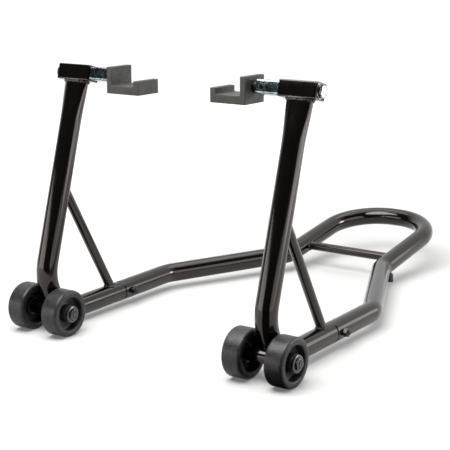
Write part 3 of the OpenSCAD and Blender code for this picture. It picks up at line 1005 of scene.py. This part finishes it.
def floor_material():
    """Pale, and brighter further out. Its front right corner holds a wedge of painted shade that
    only reflections see, a painted dark reflection, while the camera's own rays find it pale all
    over."""
    m = Nodes("studio_floor")
    distance = m.add("ShaderNodeVectorMath", operation="LENGTH")
    m.link(m.place, distance.inputs[0])
    glow = m.spread(distance.outputs["Value"], FLOOR_GLOW, 1.0, GLOW_FROM, GLOW_TO)
    offset = m.add("ShaderNodeVectorMath", operation="SUBTRACT")
    offset.inputs[1].default_value = DARK_FROM
    m.link(m.place, offset.inputs[0])
    way = m.add("ShaderNodeVectorMath", operation="NORMALIZE")
    m.link(offset.outputs[0], way.inputs[0])
    corner = m.add("ShaderNodeVectorMath", operation="DOT_PRODUCT")
    corner.inputs[1].default_value = heading(DARK_TURN)
    m.link(way.outputs[0], corner.inputs[0])
    # painted shade: the wedge of floor that reflections find dark
    painted_shade_wedge = m.spread(corner.outputs["Value"], 0.0, 1.0, DARK_EDGE, DARK_EDGE + DARK_BLUR)
    seen = m.add("ShaderNodeLightPath").outputs["Is Camera Ray"]
    # the painted shade, taken away where the camera's own rays look
    dark = m.add("ShaderNodeMath", operation="SUBTRACT", use_clamp=True)
    m.link(painted_shade_wedge, dark.inputs[0])
    m.link(seen, dark.inputs[1])
    m.set(Base_Color=m.ramp(dark.outputs[0], [(0, FLOOR_COLOUR), (1, PAINTED_SHADE_COLOUR)]))
    left_over = m.add("ShaderNodeMath", operation="SUBTRACT", use_clamp=True)
    m.link(glow, left_over.inputs[0])
    m.link(dark.outputs[0], left_over.inputs[1])
    m.set(Roughness=0.9, Specular_IOR_Level=0.0)
    return m.set(Emission_Color=(1, 1, 1, 1), Emission_Strength=left_over.outputs[0])


def studio_floor():
    mesh = bpy.data.meshes.new("floor")
    turns = [math.tau * k / FLOOR_SIDES for k in range(FLOOR_SIDES)]
    rim = [FLOOR_R * Vector((math.cos(a), math.sin(a), 0)) for a in turns]
    mesh.from_pydata(rim, [], [range(FLOOR_SIDES)])
    mesh.materials.append(floor_material())
    floor = bpy.data.objects.new("floor", mesh)
    bpy.context.scene.collection.objects.link(floor)
    floor.location.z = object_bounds()[0].z - FLOOR_DROP
    floor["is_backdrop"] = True


# name: place, target, width and height, glow, shape
LIGHTS = {
    "front_octagon": ((-0.1, -0.7, 1.3), (-0.1, 0.3, 0.05), (1.66, 1.1), 9.5, "ELLIPSE"),
    "overhead": ((-0.3, 0.5, 2.4), (0, 0.1, 0), (2.7, 2.2), 2.1, "RECTANGLE"),
    "low_card": ((-0.9, -1.68, 0.3), (0, -0.35, 0.2), (1.7, 0.5), 3.5, "RECTANGLE"),
    "right_strip": ((0.75, 0.45, 0.32), (0, 0.45, 0.25), (1.5, 0.36), 2.3, "RECTANGLE"),
    "right_card": ((1.5, -0.4, 0.12), (0, -0.4, 0.2), (1.5, 0.36), 1.7, "RECTANGLE"),
    "glint": ((2.3, 1.7, 0.88), (-0.1, 0.1, 0.05), (0.8, 0.5), 20, "RECTANGLE"),
}


def softbox(name, place, target, size, glow, shape):
    """A light that faces target; glow is how bright its surface looks."""
    data = bpy.data.lights.new(name, "AREA")
    data.shape = shape
    data.size, data.size_y = size
    area = size[0] * size[1] * (math.pi / 4 if shape == "ELLIPSE" else 1)
    data.energy = glow * math.pi * area
    light = bpy.data.objects.new(name, data)
    bpy.context.scene.collection.objects.link(light)
    light.location = place
    light.rotation_mode = "QUATERNION"
    light.rotation_quaternion = (Vector(target) - Vector(place)).to_track_quat("-Z", "Y")


def studio_world():
    """A white room to the camera's own rays. Its light comes from behind the stand, and the
    paint finds it dark in front."""
    world = bpy.data.worlds.new("studio")
    world.use_nodes = True
    tree = world.node_tree
    link = tree.links.new
    direction = tree.nodes.new("ShaderNodeTexCoord").outputs["Generated"]
    split = tree.nodes.new("ShaderNodeVectorMath")
    split.operation = "DOT_PRODUCT"
    split.inputs[1].default_value = heading(ROOM_TURN)
    link(direction, split.inputs[0])
    rear = tree.nodes.new("ShaderNodeMapRange")
    rear.interpolation_type = "SMOOTHSTEP"
    rear.inputs["From Min"].default_value = 0.0
    rear.inputs["From Max"].default_value = ROOM_EDGE
    rear.inputs["To Min"].default_value = ROOM_DARK
    rear.inputs["To Max"].default_value = ROOM_BRIGHT
    link(split.outputs["Value"], rear.inputs["Value"])
    seen = tree.nodes.new("ShaderNodeLightPath").outputs["Is Camera Ray"]
    pick = tree.nodes.new("ShaderNodeMix")
    pick.data_type = "FLOAT"
    link(seen, pick.inputs["Factor"])
    link(rear.outputs["Result"], pick.inputs[2])
    pick.inputs[3].default_value = ROOM_BRIGHT
    background = tree.nodes["Background"]
    background.inputs["Color"].default_value = (1, 1, 1, 1)
    link(pick.outputs[0], background.inputs["Strength"])
    bpy.context.scene.world = world


CAMERA_AZIMUTH = math.radians(35.13)
CAMERA_ELEVATION = math.radians(12.63)
CAMERA_DISTANCE = 1.95
CAMERA_AIM = Vector((0.0560, -0.2680, 0.1880))
CAMERA_LENS = 101.2
SENSOR_WIDTH = 36
CLIP_NEAR, CLIP_FAR = 0.05, 100


def camera():
    """A long lens from the front right, a little above the stand."""
    level = math.cos(CAMERA_ELEVATION)
    back = Vector((math.sin(CAMERA_AZIMUTH) * level,
                   -math.cos(CAMERA_AZIMUTH) * level, math.sin(CAMERA_ELEVATION)))
    data = bpy.data.cameras.new("camera")
    data.lens, data.sensor_width = CAMERA_LENS, SENSOR_WIDTH
    data.clip_start, data.clip_end = CLIP_NEAR, CLIP_FAR
    view = bpy.data.objects.new("camera", data)
    bpy.context.scene.collection.objects.link(view)
    view.location = CAMERA_AIM + back * CAMERA_DISTANCE
    view.rotation_mode = "QUATERNION"
    view.rotation_quaternion = (-back).to_track_quat("-Z", "Y")
    bpy.context.scene.camera = view


bpy.context.scene.view_settings.view_transform = "Standard"
studio_floor()
studio_world()
for name, settings in LIGHTS.items():
    softbox(name, *settings)
camera()
